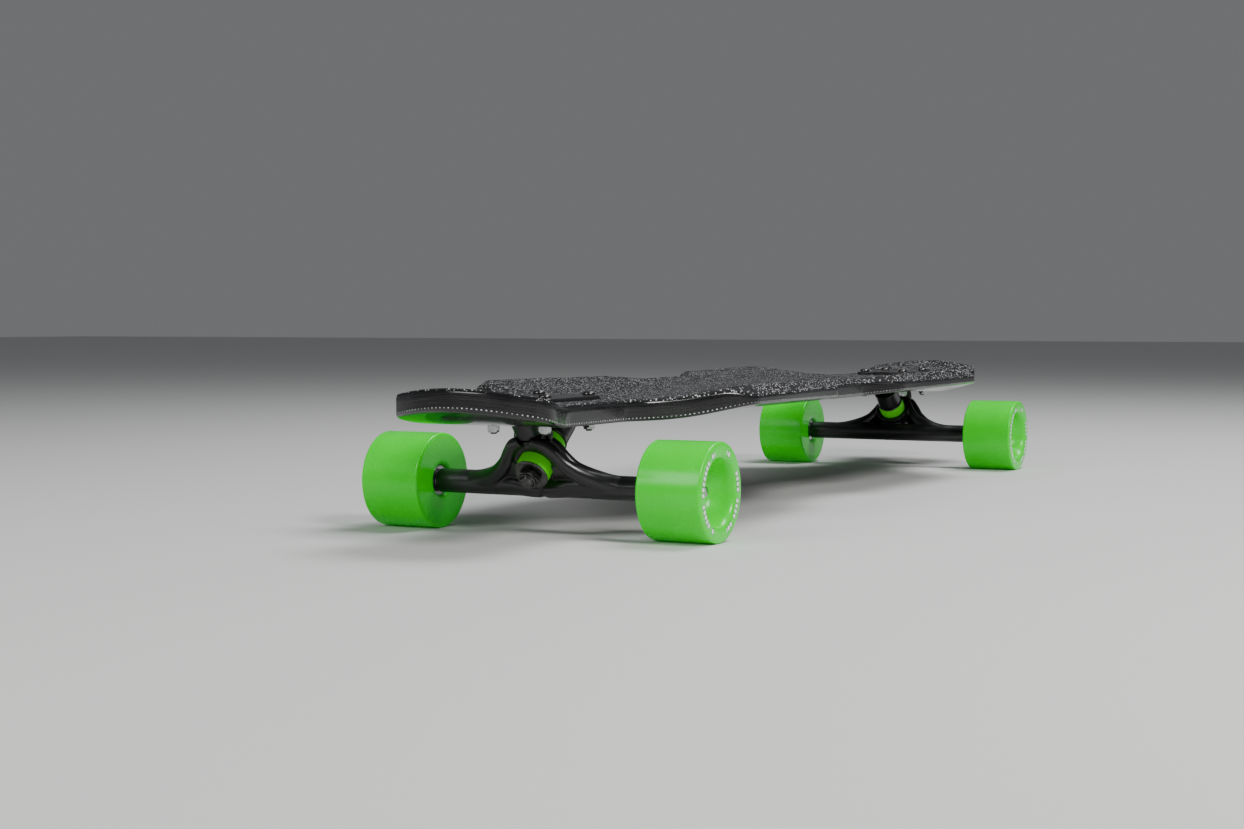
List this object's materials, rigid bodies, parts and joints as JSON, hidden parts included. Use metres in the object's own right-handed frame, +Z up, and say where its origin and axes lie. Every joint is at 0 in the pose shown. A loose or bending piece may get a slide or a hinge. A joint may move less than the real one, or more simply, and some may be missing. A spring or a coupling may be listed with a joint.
{
  "type": "drop-through longboard skateboard",
  "caption": "Longboard skateboard with a cut-away drop-through deck, steering trucks and wide urethane wheels.",
  "frame": {"origin": "on the ground plane, under the middle of the deck", "axes": "+X across the board to its left when the nose leads, +Y from the nose to the tail, +Z up; the wheels stand on z = 0 and the nose is at -Y"},
  "size_m": [0.2728, 0.985, 0.1088],
  "materials": {
    "deck_laminate": "gloss black lacquer over laminated plies",
    "grip_grit": "coarse black grit sheet",
    "black_casting": "satin black coating",
    "dark_steel": "dark oxide",
    "bright_zinc": "zinc plate",
    "bright_steel": "ground",
    "green_urethane": "satin cast urethane",
    "green_bushing": "satin cast urethane",
    "cup_plastic": "moulded"
  },
  "bodies": {
    "deck": {"deck": "deck_laminate", "grip_sheet": "grip_grit", "front_baseplate": "black_casting", "front_pivot_cup": "cup_plastic", "front_kingpin": "dark_steel", "front_kingpin_nut": "dark_steel", "front_roadside_washer": "dark_steel", "front_boardside_washer": "dark_steel", "front_roadside_bushing": "green_bushing", "front_boardside_bushing": "green_bushing", "front_bolt_1": "bright_zinc", "front_bolt_2": "bright_zinc", "front_bolt_3": "bright_zinc", "front_bolt_4": "bright_zinc", "front_bolt_nut_1": "bright_zinc", "front_bolt_nut_2": "bright_zinc", "front_bolt_nut_3": "bright_zinc", "front_bolt_nut_4": "bright_zinc", "rear_baseplate": "black_casting", "rear_pivot_cup": "cup_plastic", "rear_kingpin": "dark_steel", "rear_kingpin_nut": "dark_steel", "rear_roadside_washer": "dark_steel", "rear_boardside_washer": "dark_steel", "rear_roadside_bushing": "green_bushing", "rear_boardside_bushing": "green_bushing", "rear_bolt_1": "bright_zinc", "rear_bolt_2": "bright_zinc", "rear_bolt_3": "bright_zinc", "rear_bolt_4": "bright_zinc", "rear_bolt_nut_1": "bright_zinc", "rear_bolt_nut_2": "bright_zinc", "rear_bolt_nut_3": "bright_zinc", "rear_bolt_nut_4": "bright_zinc"},
    "front_hanger": {"front_hanger": "black_casting", "front_axle": "bright_steel", "front_left_axle_nut": "bright_steel", "front_left_speed_washer": "bright_steel", "front_right_axle_nut": "bright_steel", "front_right_speed_washer": "bright_steel"},
    "rear_hanger": {"rear_hanger": "black_casting", "rear_axle": "bright_steel", "rear_left_axle_nut": "bright_steel", "rear_left_speed_washer": "bright_steel", "rear_right_axle_nut": "bright_steel", "rear_right_speed_washer": "bright_steel"},
    "front_left_wheel": {"front_left_wheel": "green_urethane", "front_left_inner_bearing": "bright_steel", "front_left_outer_bearing": "bright_steel"},
    "front_right_wheel": {"front_right_wheel": "green_urethane", "front_right_inner_bearing": "bright_steel", "front_right_outer_bearing": "bright_steel"},
    "rear_left_wheel": {"rear_left_wheel": "green_urethane", "rear_left_inner_bearing": "bright_steel", "rear_left_outer_bearing": "bright_steel"},
    "rear_right_wheel": {"rear_right_wheel": "green_urethane", "rear_right_inner_bearing": "bright_steel", "rear_right_outer_bearing": "bright_steel"}
  },
  "joints": [
    {"name": "front_truck_steer", "type": "hinge", "parent": "deck", "child": "front_hanger", "pos_m": [0, -0.3738, 0.0555], "axis": [0, -0.6428, 0.766], "range_deg": [-20, 20], "stiffness_Nm_per_rad": 15, "deforming": ["front_roadside_bushing", "front_boardside_bushing"]},
    {"name": "rear_truck_steer", "type": "hinge", "parent": "deck", "child": "rear_hanger", "pos_m": [0, 0.3738, 0.0555], "axis": [0, 0.6428, 0.766], "range_deg": [-20, 20], "stiffness_Nm_per_rad": 15, "deforming": ["rear_roadside_bushing", "rear_boardside_bushing"]},
    {"name": "front_left_wheel_spin", "type": "hinge", "parent": "front_hanger", "child": "front_left_wheel", "pos_m": [0.11205, -0.365, 0.035], "axis": [1, 0, 0], "continuous": true},
    {"name": "front_right_wheel_spin", "type": "hinge", "parent": "front_hanger", "child": "front_right_wheel", "pos_m": [-0.11205, -0.365, 0.035], "axis": [1, 0, 0], "continuous": true},
    {"name": "rear_left_wheel_spin", "type": "hinge", "parent": "rear_hanger", "child": "rear_left_wheel", "pos_m": [0.11205, 0.365, 0.035], "axis": [1, 0, 0], "continuous": true},
    {"name": "rear_right_wheel_spin", "type": "hinge", "parent": "rear_hanger", "child": "rear_right_wheel", "pos_m": [-0.11205, 0.365, 0.035], "axis": [1, 0, 0], "continuous": true}
  ]
}
